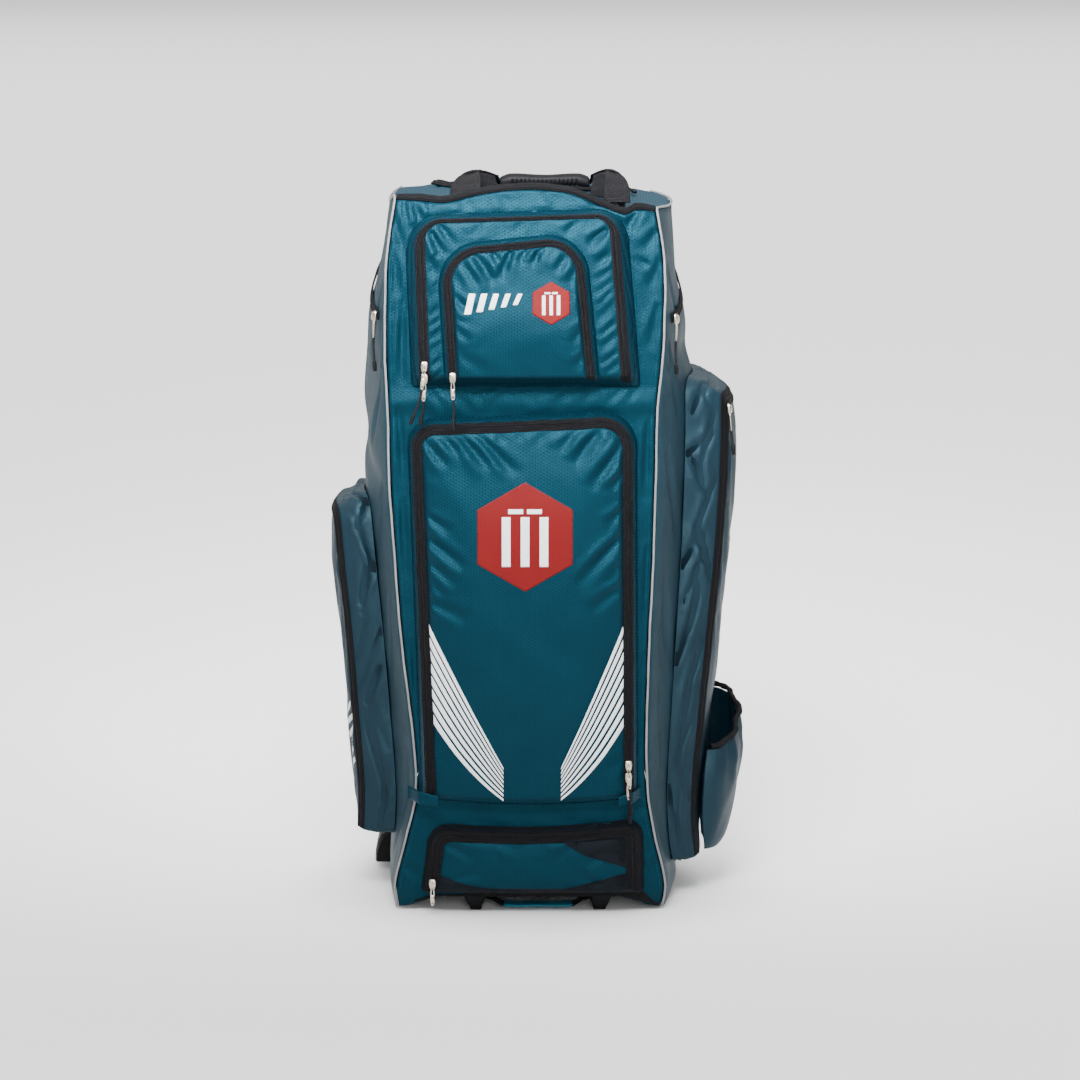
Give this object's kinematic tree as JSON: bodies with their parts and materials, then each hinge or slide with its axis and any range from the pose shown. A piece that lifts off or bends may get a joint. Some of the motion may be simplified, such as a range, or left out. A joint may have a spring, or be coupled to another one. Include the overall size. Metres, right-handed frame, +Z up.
{
  "type": "cricket kit bag",
  "caption": "Tall upright soft sports kit bag with zipped front pockets, side pockets, a bottle pouch, a ribbed top grip, front feet and two rear wheels.",
  "frame": {"origin": "centre of the bounding box on the floor the bag stands on", "axes": "+Z up along the bag's height, -Y towards the front with the large pockets, +X to the viewer's right seen from the front"},
  "size_m": [0.5466, 0.3928, 0.9595],
  "materials": {
    "teal_cloth": "satin ripstop weave in teal",
    "side_cloth": "plain dark blue-green weave",
    "piping": "light grey piping cord",
    "black_cloth": "black binding and webbing",
    "zip_tape": "black coil zip tape",
    "grip_rubber": "satin black moulded rubber",
    "housing_plastic": "matt black moulding",
    "wheel_rubber": "matt black wheel",
    "pull_metal": "bright cast metal",
    "pull_cord": "braided black cord"
  },
  "bodies": {
    "bag": {"front_panel": "teal_cloth", "top_panel": "teal_cloth", "upper_pocket": "teal_cloth", "small_pocket": "teal_cloth", "main_pocket": "teal_cloth", "bottom_pocket": "teal_cloth", "main_tab_left": "teal_cloth", "main_tab_right": "teal_cloth", "lift_handle": "teal_cloth", "side_panel_left": "side_cloth", "side_panel_right": "side_cloth", "back_panel": "side_cloth", "left_pocket": "side_cloth", "right_pocket": "side_cloth", "bottle_pouch": "side_cloth", "piping_left": "piping", "piping_right": "piping", "base_panel": "black_cloth", "rim_binding": "black_cloth", "pouch_rim": "black_cloth", "grip_tab_left": "black_cloth", "grip_tab_right": "black_cloth", "upper_zip": "zip_tape", "small_zip": "zip_tape", "main_zip": "zip_tape", "bottom_zip": "zip_tape", "left_pocket_zip": "zip_tape", "right_pocket_zip": "zip_tape", "side_zip_left": "zip_tape", "side_zip_right": "zip_tape", "top_zip": "zip_tape", "grip": "grip_rubber", "foot_left": "grip_rubber", "foot_right": "grip_rubber", "wheel_housing_left": "housing_plastic", "wheel_housing_right": "housing_plastic", "pull_upper_a": "pull_metal", "pull_upper_b": "pull_metal", "pull_small": "pull_metal", "pull_main_a": "pull_metal", "pull_main_b": "pull_metal", "pull_side_left": "pull_metal", "pull_side_right": "pull_metal", "pull_pocket": "pull_metal", "pull_top": "pull_metal", "pull_bottom": "pull_metal", "cord_upper_a": "pull_cord", "cord_upper_b": "pull_cord", "cord_small": "pull_cord", "cord_main_a": "pull_cord", "cord_main_b": "pull_cord", "cord_side_left": "pull_cord", "cord_side_right": "pull_cord", "cord_pocket": "pull_cord", "cord_top": "pull_cord"},
    "left_wheel": {"wheel_left": "wheel_rubber"},
    "right_wheel": {"wheel_right": "wheel_rubber"}
  },
  "joints": [
    {"name": "wheel_left_roll", "type": "hinge", "parent": "bag", "child": "left_wheel", "pos_m": [-0.2031, 0.13312, 0.026], "axis": [1, 0, 0], "continuous": true},
    {"name": "wheel_right_roll", "type": "hinge", "parent": "bag", "child": "right_wheel", "pos_m": [0.1709, 0.13312, 0.026], "axis": [1, 0, 0], "continuous": true}
  ]
}
